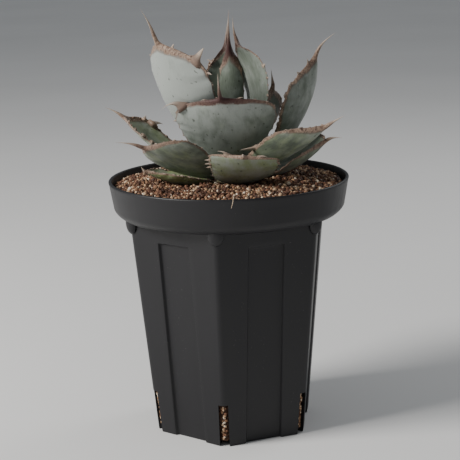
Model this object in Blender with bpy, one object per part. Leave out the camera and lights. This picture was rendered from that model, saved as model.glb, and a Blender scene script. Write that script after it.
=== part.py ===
"""Potted agave: a six-sided slit pot, its potting mix, the root crown and every leaf, each its own solid.

Metres, +Z up. The origin is the middle of the pot's underside, on the pot's axis. Leaf sizes are given in
millimetres and degrees, measured from the rim, so the plant moves with the pot.
"""

import math
from dataclasses import dataclass

import bmesh
import bpy
import numpy as np

MM = 0.001

# Pot: overall sizes
RIM_RADIUS = 60.0 * MM
POT_HEIGHT = 127.5 * MM
COLLAR_HEIGHT = 18.0 * MM
BODY_TOP_RADIUS = 53.0 * MM  # at the corners, under the collar
BODY_FOOT_RADIUS = 42.4 * MM  # at the corners, on the ground
WALL = 1.6 * MM
FLOOR = 2.2 * MM
SIDES = 6
FRONT_CORNER = math.radians(-97.5)
CORNER_ROUND = 3.0 * MM
LEAST_ROUND = 0.8 * MM  # smallest inside corner

# Pot: details
COLLAR_SEAT_RADIUS = 53.4 * MM
COLLAR_ROUND = 0.30  # share of the collar's height taken by its rounded lower edge
COLLAR_FLARE = 2.1 * MM  # how much wider the rim is than the collar above that edge
LIP_EDGE = 0.45 * MM
LEDGE_INSET = 0.9 * MM  # where the collar's inside meets the ledge
PANEL_HALF_WIDTH = 9.4 * MM
PANEL_DEPTH = 1.5 * MM
PANEL_DRAFT = 0.4 * MM
PANEL_DROP = 8.8 * MM  # from the collar down to a panel's top edge
SLIT_WIDTH = 4.8 * MM
SLIT_HEIGHT = 22.0 * MM
SLIT_REACH = 9.0 * MM  # how far a slit runs in under the floor
LUG_HALF_WIDTH = 4.2 * MM
LUG_DROP = 6.0 * MM
LUG_REACH = 3.2 * MM
LUG_BURIED = 1.0 * MM
LUG_SET_IN = 0.9 * WALL

# Potting mix
MIX_GAP = 0.35 * MM
MIX_CROWN = 0.8 * MM  # top of the mound above the rim
MIX_EDGE_DROP = 5.0 * MM  # mean drop of the mix below the rim at the wall
MIX_SWING = 2.8 * MM  # the mix stands higher at the front than at the sides
MIX_FALL = 3.5  # power: level in the middle, steep at the wall
MIX_GRAIN = 0.5 * MM
HEAP = (29.0 * MM, -16.0 * MM, 9.0 * MM, 2.4 * MM)  # place, radius and height of the heap at the right
DIP = (14.0 * MM, -33.0 * MM, 7.0 * MM, -1.2 * MM)
SOCKET_DEPTH = 7.0 * MM
SOCKET_GAP = 0.6 * MM
LEAF_CLEARANCE = 0.7 * MM
LEAF_PRESS = 6.0 * MM  # the mix is pressed down this far around a leaf

# Plant
CROWN_RADIUS = 7.4 * MM
CROWN_WAVE = 0.05  # share of the radius by which the crown bulges and narrows
CROWN_TOP_RADIUS = 2.4 * MM
CROWN_HEIGHT = 11.0 * MM  # above the rim
CROWN_BEAT = 2.5  # radians of wave from one ring to the next
CROWN_LEAST = 0.8 * MM  # smallest radius where a leaf passes close
LEAF_WITHIN = (2.2 * MM, 3.0 * MM)  # leaf points this near in height and to the side hold the crown back
PLANT_SCALE = 1.0
SPINE_RADIUS = 1.55 * MM
UPPER_BULGE = 0.10
LOWER_BULGE = 0.80
BLADE_THINNING = 0.72  # share of the thickness lost from root to tip
SPINE_BEND = 0.35  # share of the spine that still follows the blade
SPINE_FOOT = 0.85  # share of its radius left just past the blade
SPINE_TAPER = 1.2
SOCKET_RADIUS = CROWN_RADIUS * (1 + CROWN_WAVE) + SOCKET_GAP

CORNER_STEPS = 5
FACE_STEPS = 14  # points on one side of a ring, with its corner
LUG_STEPS = 8
RING = SIDES * FACE_STEPS
BLADE_RINGS = 20
SPINE_RINGS = 4
# Across a leaf: place from margin to margin, and which skin the point is on
SECTION = ((-1, 0), (-0.55, 1), (0, 1), (0.55, 1), (1, 0), (0.55, -1), (0, -1), (-0.55, -1))


@dataclass(frozen=True)
class Leaf:
    """One leaf. Lengths in millimetres, angles in degrees, heights from the rim."""

    name: str
    azimuth: float
    sweep: float
    rise: tuple
    roll: float
    root: tuple  # out from the axis, sideways, height
    length: float
    half_width: float
    widest: float
    root_share: float
    shoulder: float
    cup: float
    thickness: float
    spine: tuple  # length, change of rise, change of azimuth
    teeth: tuple = (1.6, 1.6)  # usual size on the right and on the left margin
    large: tuple = ()  # each: margin, ring, size, lean toward the tip


LEAVES = (
    Leaf(
        name="bud_cone",
        azimuth=245.0, sweep=1.5, rise=(97.5, 83.0), roll=11.0,
        root=(-2.6, 0.9, 13.8), length=49.0, half_width=6.0, widest=0.66,
        root_share=0.66, shoulder=2.75, cup=0.21, thickness=7.1,
        spine=(20.5, 8.0, 1.5), teeth=(0.0, 0.0),
    ),
    Leaf(
        name="leaf_inner_right",
        azimuth=337.0, sweep=29.0, rise=(62.0, 122.5), roll=27.0,
        root=(9.0, 0.5, 16.5), length=52.0, half_width=16.2, widest=0.61,
        root_share=0.55, shoulder=2.05, cup=-0.06, thickness=1.9,
        spine=(14.0, -23.5, 2.0), teeth=(0.6, 0.3),
        large=((-1, 15, 2.6, 20.0), (-1, 13, 1.4, 10.0)),
    ),
    Leaf(
        name="leaf_inner_back",
        azimuth=89.5, sweep=-18.5, rise=(82.0, 70.0), roll=12.0,
        root=(6.9, 2.3, 14.2), length=49.0, half_width=8.8, widest=0.68,
        root_share=0.5, shoulder=1.9, cup=0.37, thickness=3.0,
        spine=(19.0, 0.5, -3.0), teeth=(0.7, 1.0),
        large=((1, 17, 2.6, 25.0),),
    ),
    Leaf(
        name="leaf_upper_left",
        azimuth=226.5, sweep=-9.5, rise=(41.0, 78.5), roll=0.5,
        root=(6.1, -2.1, 8.3), length=73.0, half_width=20.9, widest=0.72,
        root_share=0.45, shoulder=2.45, cup=0.41, thickness=2.7,
        spine=(19.5, -21.5, 14.0), teeth=(1.4, 1.6),
        large=((1, 15, 3.6, -15.0), (1, 17, 11.0, 38.0), (1, 19, 2.5, 55.0)),
    ),
    Leaf(
        name="leaf_upper_right",
        azimuth=358.0, sweep=-19.5, rise=(37.5, 87.0), roll=-7.5,
        root=(17.8, -0.2, 8.5), length=59.0, half_width=15.7, widest=0.61,
        root_share=0.28, shoulder=1.9, cup=0.43, thickness=3.7,
        spine=(16.0, -39.0, 1.0), teeth=(1.8, 1.3),
        large=((-1, 13, 3.0, 0.0), (-1, 15, 4.2, -15.0), (-1, 17, 3.4, 25.0), (-1, 19, 3.2, 45.0)),
    ),
    Leaf(
        name="leaf_back_high",
        azimuth=159.0, sweep=0.0, rise=(57.5, 72.0), roll=11.0,
        root=(9.7, -0.5, 14.3), length=44.5, half_width=16.0, widest=0.59,
        root_share=0.54, shoulder=1.95, cup=0.37, thickness=2.7,
        spine=(12.0, 0.0, 2.5), teeth=(1.2, 1.4),
    ),
    Leaf(
        name="leaf_front",
        azimuth=275.0, sweep=-21.5, rise=(41.5, 56.5), roll=4.5,
        root=(6.0, -0.3, 5.8), length=51.0, half_width=23.8, widest=0.71,
        root_share=0.44, shoulder=2.65, cup=0.23, thickness=3.4,
        spine=(13.0, 18.5, 0.0), teeth=(1.5, 1.5),
        large=((-1, 17, 11.5, -13.0), (-1, 13, 2.4, -10.0), (-1, 5, 2.2, -10.0), (-1, 7, 1.8, 0.0)),
    ),
    Leaf(
        name="leaf_back_mid",
        azimuth=82.0, sweep=4.5, rise=(36.0, 61.5), roll=-2.0,
        root=(8.5, -1.0, 8.6), length=44.5, half_width=4.5, widest=0.58,
        root_share=0.45, shoulder=1.9, cup=0.38, thickness=4.0,
        spine=(11.0, -6.5, -1.0), teeth=(1.3, 1.3),
    ),
    Leaf(
        name="leaf_mid_right",
        azimuth=3.0, sweep=-29.0, rise=(41.0, 91.5), roll=-7.0,
        root=(7.4, -0.4, 8.3), length=40.0, half_width=11.8, widest=0.66,
        root_share=0.31, shoulder=2.5, cup=-0.04, thickness=2.0,
        spine=(9.5, 2.5, -10.5), teeth=(1.3, 1.3),
    ),
    Leaf(
        name="leaf_mid_left",
        azimuth=188.0, sweep=-15.0, rise=(19.0, 49.5), roll=-14.5,
        root=(9.2, -1.4, 2.8), length=50.5, half_width=8.9, widest=0.72,
        root_share=0.34, shoulder=2.8, cup=0.46, thickness=3.0,
        spine=(11.5, -20.0, 10.5), teeth=(1.5, 1.8),
        large=((-1, 17, 4.0, 10.0), (-1, 15, 9.0, -28.0), (1, 15, 3.0, 15.0)),
    ),
    Leaf(
        name="leaf_low_right",
        azimuth=318.0, sweep=8.0, rise=(18.5, 37.0), roll=-10.0,
        root=(13.0, -2.3, 4.6), length=54.5, half_width=13.8, widest=0.64,
        root_share=0.38, shoulder=1.5, cup=0.49, thickness=4.1,
        spine=(12.0, -9.0, 2.0), teeth=(1.2, 1.6),
        large=((1, 19, 5.0, 55.0), (-1, 7, 7.8, -22.0), (-1, 17, 2.2, 10.0)),
    ),
    Leaf(
        name="leaf_back_low",
        azimuth=113.5, sweep=-0.5, rise=(27.0, 40.0), roll=1.5,
        root=(10.2, 0.5, 6.6), length=49.5, half_width=3.4, widest=0.6,
        root_share=0.44, shoulder=2.0, cup=0.36, thickness=3.6,
        spine=(12.0, -10.0, 0.5), teeth=(1.4, 1.4),
    ),
    Leaf(
        name="leaf_lower_left",
        azimuth=230.0, sweep=-32.5, rise=(12.0, 37.5), roll=20.5,
        root=(10.9, 0.0, 1.9), length=45.0, half_width=18.7, widest=0.72,
        root_share=0.25, shoulder=2.3, cup=0.31, thickness=2.0,
        spine=(14.0, -25.0, -11.5), teeth=(1.0, 1.3),
    ),
    Leaf(
        name="leaf_back_right",
        azimuth=45.5, sweep=-2.0, rise=(-9.5, 30.5), roll=-3.5,
        root=(12.1, 0.5, 3.1), length=50.5, half_width=9.9, widest=0.63,
        root_share=0.45, shoulder=1.95, cup=0.29, thickness=3.6,
        spine=(10.0, -11.0, -1.0), teeth=(1.4, 1.4),
    ),
    Leaf(
        name="leaf_under_right",
        azimuth=346.5, sweep=-30.0, rise=(0.5, 46.0), roll=16.5,
        root=(10.9, 2.7, 2.0), length=46.0, half_width=16.5, widest=0.69,
        root_share=0.26, shoulder=2.1, cup=0.28, thickness=3.2,
        spine=(9.5, -34.0, 13.5), teeth=(1.0, 1.2),
    ),
    Leaf(
        name="leaf_base_left",
        azimuth=208.5, sweep=-2.0, rise=(1.0, 27.5), roll=1.0,
        root=(11.1, 0.7, -1.2), length=35.5, half_width=14.7, widest=0.53,
        root_share=0.51, shoulder=2.1, cup=0.23, thickness=3.9,
        spine=(4.0, 16.0, -1.0), teeth=(1.0, 1.2),
    ),
    Leaf(
        name="leaf_base_front",
        azimuth=287.0, sweep=-22.0, rise=(8.5, 51.0), roll=-5.5,
        root=(14.8, -1.0, 0.1), length=36.5, half_width=16.3, widest=0.83,
        root_share=0.71, shoulder=2.85, cup=0.17, thickness=2.1,
        spine=(1.5, -14.0, 7.0), teeth=(1.2, 1.2),
        large=((-1, 19, 3.0, 40.0), (-1, 15, 2.6, -5.0), (-1, 13, 2.8, -10.0), (-1, 11, 2.6, -15.0)),
    ),
    Leaf(
        name="leaf_back_left",
        azimuth=130.0, sweep=2.5, rise=(-1.5, 21.0), roll=6.5,
        root=(11.6, -0.5, 2.5), length=47.0, half_width=10.9, widest=0.61,
        root_share=0.47, shoulder=2.0, cup=0.41, thickness=3.8,
        spine=(10.0, -8.5, 1.5), teeth=(1.4, 1.3),
    ),
)


def clear_scene():
    for thing in list(bpy.data.objects):
        bpy.data.objects.remove(thing, do_unlink=True)


def material(name, colour, roughness, metallic=0.0):
    made = bpy.data.materials.new(name)
    made.use_nodes = True
    shader = made.node_tree.nodes["Principled BSDF"]
    shader.inputs["Base Color"].default_value = (*colour, 1.0)
    shader.inputs["Roughness"].default_value = roughness
    shader.inputs["Metallic"].default_value = metallic
    made.diffuse_color = (*colour, 1.0)
    return made


def add_object(name, mesh, look):
    thing = bpy.data.objects.new(name, mesh)
    bpy.context.scene.collection.objects.link(thing)
    mesh.materials.append(look)
    mesh.shade_smooth()
    mesh.set_sharp_from_angle(angle=math.radians(35))
    return thing


def loft(name, rings, cap_first=True, cap_last=True, apex=None):
    """A closed skin through rings with equal counts of points, closed by flat caps or a point at the end."""
    form = bmesh.new()
    rows = [[form.verts.new(point) for point in ring] for ring in rings]
    count = len(rows[0])
    for low, high in zip(rows, rows[1:]):
        for i in range(count):
            j = (i + 1) % count
            form.faces.new((low[i], low[j], high[j], high[i]))
    if cap_first:
        form.faces.new(rows[0][::-1])
    if apex is not None:
        tip = form.verts.new(apex)
        for i in range(count):
            form.faces.new((rows[-1][i], rows[-1][(i + 1) % count], tip))
    elif cap_last:
        form.faces.new(rows[-1])
    bmesh.ops.recalc_face_normals(form, faces=form.faces)
    mesh = bpy.data.meshes.new(name)
    form.to_mesh(mesh)
    form.free()
    return mesh


def corner_angle(side):
    return FRONT_CORNER + side * math.tau / SIDES


def body_radius(z):
    """Corner radius of the body's outside at a height."""
    seat = POT_HEIGHT - COLLAR_HEIGHT
    return BODY_FOOT_RADIUS + (BODY_TOP_RADIUS - BODY_FOOT_RADIUS) * z / seat


def body_ring(z, inset=0.0, recess=0.0, top=None):
    """One six-sided ring with round corners. recess sinks the middle panel of every side."""
    half = math.pi / SIDES
    radius = body_radius(z) - inset / math.cos(half)
    round_radius = max(CORNER_ROUND - inset, LEAST_ROUND)
    centre = radius - round_radius / math.cos(half)
    apothem = radius * math.cos(half)
    panel = PANEL_HALF_WIDTH + inset
    corner = round_radius * math.tan(half)
    side_half = radius * math.sin(half) - corner
    height = z if top is None else top
    points = []
    for side in range(SIDES):
        direction = corner_angle(side)
        for step in range(CORNER_STEPS):
            turn = direction + half * (2 * step / (CORNER_STEPS - 1) - 1)
            x = centre * math.cos(direction) + round_radius * math.cos(turn)
            y = centre * math.sin(direction) + round_radius * math.sin(turn)
            points.append((x, y, height))
        out = direction + half
        floor_half = panel - PANEL_DRAFT
        margin = (side_half + panel) / 2
        stations = [(-margin, 0.0), (-panel, 0.0), (-floor_half, recess), (-floor_half / 2, recess)]
        stations += [(0.0, recess)]
        stations += [(-along, depth) for along, depth in reversed(stations[:-1])]
        for along, depth in stations:
            reach = apothem - depth
            x = reach * math.cos(out) - along * math.sin(out)
            y = reach * math.sin(out) + along * math.cos(out)
            points.append((x, y, height))
    return points


def round_ring(radius, z):
    """One round ring whose points follow the order of body_ring."""
    step = math.tau / RING
    start = FRONT_CORNER - step * (CORNER_STEPS // 2)
    turns = [start + i * step for i in range(RING)]
    return [(radius * math.cos(turn), radius * math.sin(turn), z) for turn in turns]


def collar_outside(share):
    """Outer radius of the collar, from its seat (0) to its rim (1): a quarter round, then a slight flare."""
    shoulder = RIM_RADIUS - COLLAR_FLARE
    if share < COLLAR_ROUND:
        turn = math.pi / 2 * share / COLLAR_ROUND
        return COLLAR_SEAT_RADIUS + (shoulder - COLLAR_SEAT_RADIUS) * math.sin(turn) ** 0.8
    return shoulder + (RIM_RADIUS - shoulder) * (share - COLLAR_ROUND) / (1 - COLLAR_ROUND)


def collar_inside(share):
    """Inner radius of the collar at the same share of its height."""
    return collar_outside(share) - WALL


def pot_rings():
    seat = POT_HEIGHT - COLLAR_HEIGHT
    panel_top = seat - PANEL_DROP
    ledge = seat + FLOOR
    rings = [body_ring(0.0, recess=PANEL_DEPTH), body_ring(panel_top, recess=PANEL_DEPTH)]
    rings += [body_ring(panel_top), body_ring(seat)]
    for share in (0.0, 0.05, 0.13, 0.22, 0.31, 0.95):
        rings.append(round_ring(collar_outside(share), seat + share * COLLAR_HEIGHT))
    rings.append(round_ring(RIM_RADIUS - LIP_EDGE, POT_HEIGHT))
    rings.append(round_ring(RIM_RADIUS - WALL + LIP_EDGE, POT_HEIGHT))
    rings.append(round_ring(RIM_RADIUS - WALL, POT_HEIGHT - LIP_EDGE))
    for share in (0.31, 0.22, 0.14):
        rings.append(round_ring(collar_inside(share), seat + share * COLLAR_HEIGHT))
    rings.append(round_ring(BODY_TOP_RADIUS - LEDGE_INSET, ledge))
    rings.append(body_ring(seat, inset=WALL, top=ledge))
    inner_top = panel_top + WALL
    rings += [body_ring(inner_top, inset=WALL), body_ring(inner_top, inset=WALL, recess=PANEL_DEPTH)]
    rings.append(body_ring(FLOOR, inset=WALL, recess=PANEL_DEPTH))
    return rings


def box_mesh(name, length, width, height):
    form = bmesh.new()
    bmesh.ops.create_cube(form, size=1.0)
    bmesh.ops.scale(form, vec=(length, width, height), verts=form.verts)
    mesh = bpy.data.meshes.new(name)
    form.to_mesh(mesh)
    form.free()
    return mesh


def lug_mesh(name):
    """A half dome that hangs under the collar, its flat back in the wall and its flat top in the collar."""
    levels = [LUG_BURIED, 0.0] + [-share * LUG_DROP for share in (0.3, 0.55, 0.75, 0.9, 0.97)]
    rings = []
    for level in levels:
        size = math.sqrt(1 - (min(level, 0.0) / LUG_DROP) ** 2)
        ring = []
        for step in range(LUG_STEPS + 1):
            turn = math.pi * (step / LUG_STEPS - 0.5)
            ring.append((size * LUG_REACH * math.cos(turn), size * LUG_HALF_WIDTH * math.sin(turn), level))
        rings.append(ring)
    return loft(name, rings)


def add_boolean(target, tool, operation):
    tool.hide_render = True
    tool.display_type = "WIRE"
    step = target.modifiers.new(f"{operation} {tool.name}".lower(), "BOOLEAN")
    step.operation = operation
    step.solver = "EXACT"
    step.object = tool


def make_pot(look):
    pot = add_object("slit_pot", loft("slit_pot", pot_rings()), look)
    seat = POT_HEIGHT - COLLAR_HEIGHT
    lug = lug_mesh("stacking_lug")
    slit = box_mesh("corner_slit", 2 * SLIT_REACH, SLIT_WIDTH, 2 * SLIT_HEIGHT)
    for side in range(SIDES):
        direction = corner_angle(side)
        lug_object = bpy.data.objects.new(f"lug_{side}", lug)
        reach = BODY_TOP_RADIUS - LUG_SET_IN
        lug_object.location = (reach * math.cos(direction), reach * math.sin(direction), seat)
        lug_object.rotation_euler = (0, 0, direction)
        bpy.context.scene.collection.objects.link(lug_object)
        slit_object = bpy.data.objects.new(f"slit_{side}", slit)
        foot = BODY_FOOT_RADIUS
        slit_object.location = (foot * math.cos(direction), foot * math.sin(direction), 0)
        slit_object.rotation_euler = (0, 0, direction)
        bpy.context.scene.collection.objects.link(slit_object)
        add_boolean(pot, lug_object, "UNION")
        add_boolean(pot, slit_object, "DIFFERENCE")
    return pot


def ripple(seed):
    """A repeatable number from 0 to 1."""
    value = math.sin(seed * 12.9898) * 43758.5453
    return value - math.floor(value)


def blade_width(leaf, s):
    """Half width along the blade: narrow at the root, widest part way up, round shoulders at the tip."""
    if s < leaf.widest:
        swell = math.sin(math.pi / 2 * s / leaf.widest) ** 1.3
        return leaf.root_share + (1 - leaf.root_share) * swell
    return 1 - ((s - leaf.widest) / (1 - leaf.widest)) ** leaf.shoulder


def axes_at(azimuth, rise, roll):
    """Unit vectors along the leaf, across it, and out of its upper face."""
    along = np.array((math.cos(rise) * math.cos(azimuth), math.cos(rise) * math.sin(azimuth), math.sin(rise)))
    level = np.array((-math.sin(azimuth), math.cos(azimuth), 0.0))
    upward = np.cross(along, level)
    across = level * math.cos(roll) + upward * math.sin(roll)
    face = upward * math.cos(roll) - level * math.sin(roll)
    return along, across, face


def midrib(leaf, s):
    """Direction of the midrib at a share of the blade's length."""
    rise = math.radians(leaf.rise[0] + (leaf.rise[1] - leaf.rise[0]) * s)
    azimuth = math.radians(leaf.azimuth + leaf.sweep * s)
    return axes_at(azimuth, rise, math.radians(leaf.roll))


def leaf_rings(leaf, seed):
    """The leaf's rings, root to spine, and the spine's point. Every second ring carries two teeth."""
    scale = MM * PLANT_SCALE
    azimuth = math.radians(leaf.azimuth)
    out, side, height = (value * scale for value in leaf.root)
    place = np.array((out * math.cos(azimuth) - side * math.sin(azimuth), 0.0, POT_HEIGHT + height))
    place[1] = out * math.sin(azimuth) + side * math.cos(azimuth)
    length = leaf.length * scale
    spine_start = SPINE_RADIUS / (leaf.half_width * scale)
    large = {(margin, ring): (size, lean) for margin, ring, size, lean in leaf.large}
    rings = []
    for row in range(BLADE_RINGS + 1):
        s = row / BLADE_RINGS
        along, across, face = midrib(leaf, s)
        half = leaf.half_width * scale * max(blade_width(leaf, s), spine_start)
        thick = leaf.thickness * scale * (1 - BLADE_THINNING * s)
        thick = min(thick, 2.2 * half)
        if row == BLADE_RINGS:
            thick = 2.0 * SPINE_RADIUS
        ring = []
        for v, skin in SECTION:
            bulge = math.sqrt(max(1 - v * v, 0.0)) * thick
            lift = leaf.cup * half * v * v * (row < BLADE_RINGS)
            lift += bulge * UPPER_BULGE if skin > 0 else -bulge * LOWER_BULGE * (skin < 0)
            point = place + across * (v * half) + face * lift
            if skin == 0 and row % 2 == 1 and 2 < row < BLADE_RINGS:
                usual = leaf.teeth[v > 0] * (0.45 + 0.9 * ripple(seed + 7 * row + v))
                size, lean = large.get((v, row), (usual, -40 + 75 * ripple(seed + 3 * row - v)))
                lean = math.radians(lean)
                outward = across * (v * math.cos(lean)) + along * math.sin(lean)
                point = point + outward * (size * scale)
            ring.append(tuple(point))
        rings.append(ring)
        if row < BLADE_RINGS:
            middle = midrib(leaf, (row + 0.5) / BLADE_RINGS)[0]
            place = place + middle * (length / BLADE_RINGS)
    spine_length, spine_rise, spine_turn = leaf.spine
    spine_length *= scale
    start = midrib(leaf, 1.0)[0]
    turn = math.radians(leaf.azimuth + leaf.sweep + spine_turn)
    rise = math.radians(leaf.rise[1] + spine_rise)
    aim, aim_across, aim_face = axes_at(turn, rise, math.radians(leaf.roll))
    bend = SPINE_BEND * spine_length
    tip = place + aim * spine_length
    knee = place + start * bend
    for row in range(1, SPINE_RINGS):
        u = row / SPINE_RINGS
        centre = place * (1 - u) ** 2 + knee * (2 * u * (1 - u)) + tip * u**2
        radius = SPINE_RADIUS * (1 - u) ** SPINE_TAPER * SPINE_FOOT
        lift = -0.5 * (LOWER_BULGE - UPPER_BULGE) * SPINE_RADIUS * (1 - u)
        ring = []
        for v, skin in SECTION:
            rise_share = math.sqrt(max(1 - v * v, 0.0)) * skin
            ring.append(tuple(centre + aim_across * (v * radius) + aim_face * (rise_share * radius + lift)))
        rings.append(ring)
    return rings, tuple(tip)


def leaf_points():
    """Every point of every leaf, for the mix and the crown to keep clear of."""
    points = []
    for number, leaf in enumerate(LEAVES):
        rings, tip = leaf_rings(leaf, number)
        points += [point for ring in rings for point in ring] + [tip]
    return np.array(points)


def mix_height(x, y, near):
    """Top of the mix: a mound that is higher at the front, pressed down under the lowest leaves."""
    radius = math.hypot(x, y)
    share = min(radius / RIM_RADIUS, 1.0)
    front = 0.5 - 0.5 * math.sin(math.atan2(y, x))
    edge = -MIX_EDGE_DROP + MIX_SWING * front**2
    top = MIX_CROWN + (edge - MIX_CROWN) * share**MIX_FALL
    for middle_x, middle_y, spread, rise in (HEAP, DIP):
        top += rise * math.exp(-((x - middle_x) ** 2 + (y - middle_y) ** 2) / spread**2)
    top += MIX_GRAIN * (ripple(round(x / MM) + 31 * round(y / MM)) - 0.5)
    height = POT_HEIGHT + top
    apart = np.hypot(near[:, 0] - x, near[:, 1] - y)
    above = near[apart < LEAF_PRESS]
    if len(above):
        height = min(height, above[:, 2].min() - LEAF_CLEARANCE)
    return height


def make_mix(look, near):
    seat = POT_HEIGHT - COLLAR_HEIGHT
    panel_top = seat - PANEL_DROP
    inset = WALL + MIX_GAP
    recess = PANEL_DEPTH
    rings = [body_ring(FLOOR + MIX_GAP, inset=inset, recess=recess)]
    ledge = panel_top + WALL + MIX_GAP
    rings += [body_ring(ledge, inset=inset, recess=recess), body_ring(ledge, inset=inset)]
    shelf = seat + FLOOR + MIX_GAP
    rings.append(body_ring(seat, inset=inset, top=shelf))
    rings.append(round_ring(BODY_TOP_RADIUS - LEDGE_INSET, shelf))
    for share in (0.18, 0.31):
        rings.append(round_ring(collar_inside(share) - 1.6 * MIX_GAP, seat + share * COLLAR_HEIGHT))
    wall_radius = collar_inside(0.5) - 2 * MIX_GAP
    for share in (1.0, 0.9, 0.79, 0.67, 0.55, 0.43, 0.31, 0.2):
        ring = round_ring(wall_radius * share, 0.0)
        rings.append([(x, y, mix_height(x, y, near)) for x, y, z in ring])
    socket_top = min(z for x, y, z in rings[-1])
    rings.append(round_ring(SOCKET_RADIUS, socket_top - SOCKET_GAP))
    rings.append(round_ring(SOCKET_RADIUS, POT_HEIGHT - SOCKET_DEPTH))
    return add_object("potting_mix", loft("potting_mix", rings), look)


def make_crown(look, near):
    """The root crown tapers from its socket to the bud, and keeps clear of every leaf."""
    steps = 14
    points = 18
    foot = POT_HEIGHT - SOCKET_DEPTH + MIX_GAP
    rings = []
    for step in range(steps + 1):
        share = step / steps
        z = foot + (POT_HEIGHT + CROWN_HEIGHT - foot) * share
        radius = CROWN_RADIUS + (CROWN_TOP_RADIUS - CROWN_RADIUS) * share**1.5
        radius *= 1 + CROWN_WAVE * math.sin(CROWN_BEAT * step)
        ring = []
        for i in range(points):
            turn = math.tau * i / points
            x, y = math.cos(turn), math.sin(turn)
            level = near[np.abs(near[:, 2] - z) < LEAF_WITHIN[0]]
            ahead = level[:, 0] * x + level[:, 1] * y
            beside = np.abs(level[:, 0] * y - level[:, 1] * x)
            hits = ahead[(beside < LEAF_WITHIN[1]) & (ahead > 0)]
            reach = min(radius, hits.min() - LEAF_CLEARANCE) if len(hits) else radius
            reach = max(reach, CROWN_LEAST)
            ring.append((reach * x, reach * y, z))
        rings.append(ring)
    return add_object("root_crown", loft("root_crown", rings), look)


def make_leaves(looks):
    for number, leaf in enumerate(LEAVES):
        rings, tip = leaf_rings(leaf, number)
        kind = "low" if "base" in leaf.name else "leaf"
        look = looks["bud" if leaf.name == "bud_cone" else kind]
        add_object(leaf.name, loft(leaf.name, rings, apex=tip), look)


def main():
    clear_scene()
    near = leaf_points()
    make_pot(material("matte black plastic", (0.035, 0.035, 0.04), 0.5))
    make_mix(material("granular mix", (0.42, 0.29, 0.19), 0.95), near)
    make_crown(material("crown bark", (0.25, 0.22, 0.13), 0.8), near)
    looks = {
        "leaf": material("waxy blue-green leaf", (0.36, 0.42, 0.36), 0.62),
        "bud": material("young leaf", (0.42, 0.46, 0.38), 0.6),
        "low": material("pale green leaf", (0.42, 0.5, 0.3), 0.6),
    }
    make_leaves(looks)


main()
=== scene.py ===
# %% [markdown]
# # A potted agave
# The object is a young rosette agave in a tall black slit pot. The pieces of the fixed model say where
# everything is. This script rebuilds each visible piece finely round them: leaves with a horny margin,
# curved teeth and a long end spine, a moulded pot with soft edges, and a top layer of loose grains.

import math

import bmesh
import bpy
import numpy as np
from mathutils import Matrix, Vector, noise
from mathutils.bvhtree import BVHTree


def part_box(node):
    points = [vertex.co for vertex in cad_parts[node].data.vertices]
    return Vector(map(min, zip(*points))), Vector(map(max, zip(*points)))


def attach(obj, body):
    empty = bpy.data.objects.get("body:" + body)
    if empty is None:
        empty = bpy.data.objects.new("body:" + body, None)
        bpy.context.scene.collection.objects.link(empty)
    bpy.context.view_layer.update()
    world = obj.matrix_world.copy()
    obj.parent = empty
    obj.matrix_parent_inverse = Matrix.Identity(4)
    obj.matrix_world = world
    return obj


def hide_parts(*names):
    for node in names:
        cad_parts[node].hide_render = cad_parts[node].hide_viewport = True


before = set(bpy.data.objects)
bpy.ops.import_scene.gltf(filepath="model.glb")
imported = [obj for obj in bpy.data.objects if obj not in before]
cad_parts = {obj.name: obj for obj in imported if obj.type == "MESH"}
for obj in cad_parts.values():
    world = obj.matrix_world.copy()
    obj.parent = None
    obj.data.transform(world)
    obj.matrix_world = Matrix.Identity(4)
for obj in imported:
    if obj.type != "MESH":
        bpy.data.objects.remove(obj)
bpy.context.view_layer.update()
MM = 0.001
chance = np.random.default_rng(11)

# %% [markdown]
# ## Shader sums
# A material is a graph of nodes. Written out link by link it is hard to read, so two
# helpers carry it: `Wire` is a socket that can be added, subtracted and multiplied like a number, and
# `Finish` is a material under construction, with one method that makes any node.

# %% A socket that behaves like a number
class Wire:
    """One output of a node. Sums on it add Math nodes to the same material."""

    def __init__(self, finish, socket):
        self.finish = finish
        self.socket = socket

    def math(self, operation, first, second):
        return self.finish.node("ShaderNodeMath", {"operation": operation}, {0: first, 1: second})

    def __add__(self, other):
        return self.math("ADD", self, other)

    def __radd__(self, other):
        return self.math("ADD", other, self)

    def __sub__(self, other):
        return self.math("SUBTRACT", self, other)

    def __rsub__(self, other):
        return self.math("SUBTRACT", other, self)

    def __mul__(self, other):
        return self.math("MULTIPLY", self, other)

    def __rmul__(self, other):
        return self.math("MULTIPLY", other, self)


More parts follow.
